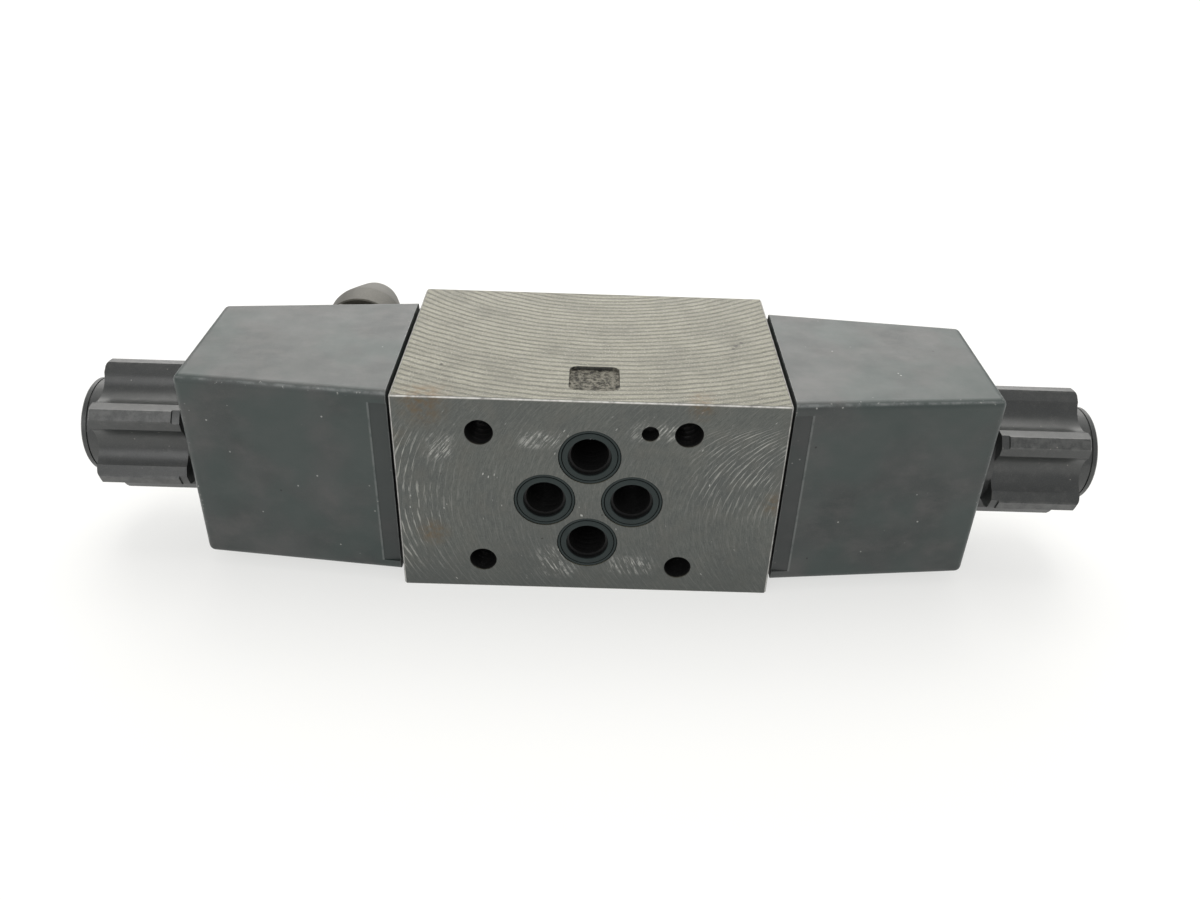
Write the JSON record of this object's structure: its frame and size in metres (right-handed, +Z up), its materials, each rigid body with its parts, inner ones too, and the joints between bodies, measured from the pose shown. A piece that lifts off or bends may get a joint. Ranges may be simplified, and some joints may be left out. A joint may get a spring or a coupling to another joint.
{
  "type": "solenoid directional valve",
  "caption": "Subplate hydraulic directional valve: ported iron body, sliding spool, a moulded coil with lobed lock nut at each end, wiring box on the back.",
  "frame": {"origin": "centre of the port pattern on the mounting face", "axes": "+X along the spool towards coil B, -Y out of the mounting face, +Z up with the valve lying on its side"},
  "size_m": [0.2117, 0.0886, 0.046],
  "materials": {
    "cast_iron": "fly-cut faces, oiled",
    "seal_rubber": "matt black",
    "hard_steel": "ground",
    "spring_steel": "drawn wire",
    "magnetic_steel": "turned",
    "brass": "turned",
    "coil_resin": "moulded, worn",
    "bobbin_plastic": "moulded",
    "copper_wire": "enamelled",
    "nut_plastic": "moulded, dusty",
    "die_cast": "cast, dull",
    "screw_steel": "zinc plated",
    "plate_aluminium": "satin, blank",
    "terminal_plastic": "moulded"
  },
  "bodies": {
    "housing": {"valve_body": "cast_iron", "port_seal_p": "seal_rubber", "port_seal_t": "seal_rubber", "port_seal_a": "seal_rubber", "port_seal_b": "seal_rubber", "pole_piece_a": "magnetic_steel", "pole_ring_a": "brass", "guide_tube_a": "magnetic_steel", "end_plug_a": "magnetic_steel", "tube_seal_a": "seal_rubber", "centring_spring_a": "spring_steel", "override_spring_a": "spring_steel", "coil_housing_a": "coil_resin", "coil_bobbin_a": "bobbin_plastic", "coil_winding_a": "copper_wire", "coil_yoke_a": "magnetic_steel", "coil_seal_inner_a": "seal_rubber", "coil_seal_outer_a": "seal_rubber", "pole_piece_b": "magnetic_steel", "pole_ring_b": "brass", "guide_tube_b": "magnetic_steel", "end_plug_b": "magnetic_steel", "tube_seal_b": "seal_rubber", "centring_spring_b": "spring_steel", "override_spring_b": "spring_steel", "coil_housing_b": "coil_resin", "coil_bobbin_b": "bobbin_plastic", "coil_winding_b": "copper_wire", "coil_yoke_b": "magnetic_steel", "coil_seal_inner_b": "seal_rubber", "coil_seal_outer_b": "seal_rubber", "wiring_box": "die_cast", "cover_gasket": "seal_rubber", "box_cover": "die_cast", "cover_screws": "screw_steel", "box_screws": "screw_steel", "name_plate": "plate_aluminium", "terminal_block": "terminal_plastic", "terminal_screws": "screw_steel", "gland_body": "die_cast", "gland_nut": "die_cast", "gland_seal": "seal_rubber"},
    "spool_set": {"spool": "hard_steel", "spring_seat_a": "hard_steel", "spring_seat_b": "hard_steel"},
    "armature_set_a": {"armature_a": "magnetic_steel", "armature_shim_a": "brass", "push_pin_a": "hard_steel"},
    "override_set_a": {"override_pin_a": "hard_steel", "override_seal_a": "seal_rubber"},
    "nut_set_a": {"lock_nut_a": "nut_plastic", "nut_cap_a": "nut_plastic"},
    "armature_set_b": {"armature_b": "magnetic_steel", "armature_shim_b": "brass", "push_pin_b": "hard_steel"},
    "override_set_b": {"override_pin_b": "hard_steel", "override_seal_b": "seal_rubber"},
    "nut_set_b": {"lock_nut_b": "nut_plastic", "nut_cap_b": "nut_plastic"}
  },
  "joints": [
    {"name": "spool_slide", "type": "slide", "parent": "housing", "child": "spool_set", "axis": [1, 0, 0], "range_m": [-0.003, 0.003], "stiffness_N_per_m": 6000, "deforming": ["centring_spring_a", "centring_spring_b"]},
    {"name": "armature_slide_a", "type": "slide", "parent": "housing", "child": "armature_set_a", "axis": [1, 0, 0], "range_m": [-0.003, 0.003]},
    {"name": "armature_slide_b", "type": "slide", "parent": "housing", "child": "armature_set_b", "axis": [1, 0, 0], "range_m": [-0.003, 0.003]},
    {"name": "override_push_a", "type": "slide", "parent": "housing", "child": "override_set_a", "axis": [1, 0, 0], "range_m": [0, 0.0032], "stiffness_N_per_m": 400, "deforming": ["override_spring_a"]},
    {"name": "override_push_b", "type": "slide", "parent": "housing", "child": "override_set_b", "axis": [1, 0, 0], "range_m": [-0.0032, 0], "stiffness_N_per_m": 400, "deforming": ["override_spring_b"]},
    {"name": "lock_nut_turn_a", "type": "hinge", "parent": "housing", "child": "nut_set_a", "pos_m": [-0.09, 0.0218, 0.0015], "axis": [1, 0, 0], "continuous": true},
    {"name": "lock_nut_turn_b", "type": "hinge", "parent": "housing", "child": "nut_set_b", "pos_m": [0.09, 0.0218, 0.0015], "axis": [1, 0, 0], "continuous": true}
  ],
  "couplings": [
    {"joint": "armature_slide_a", "follows": "spool_slide", "ratio": 1},
    {"joint": "armature_slide_b", "follows": "spool_slide", "ratio": 1}
  ]
}
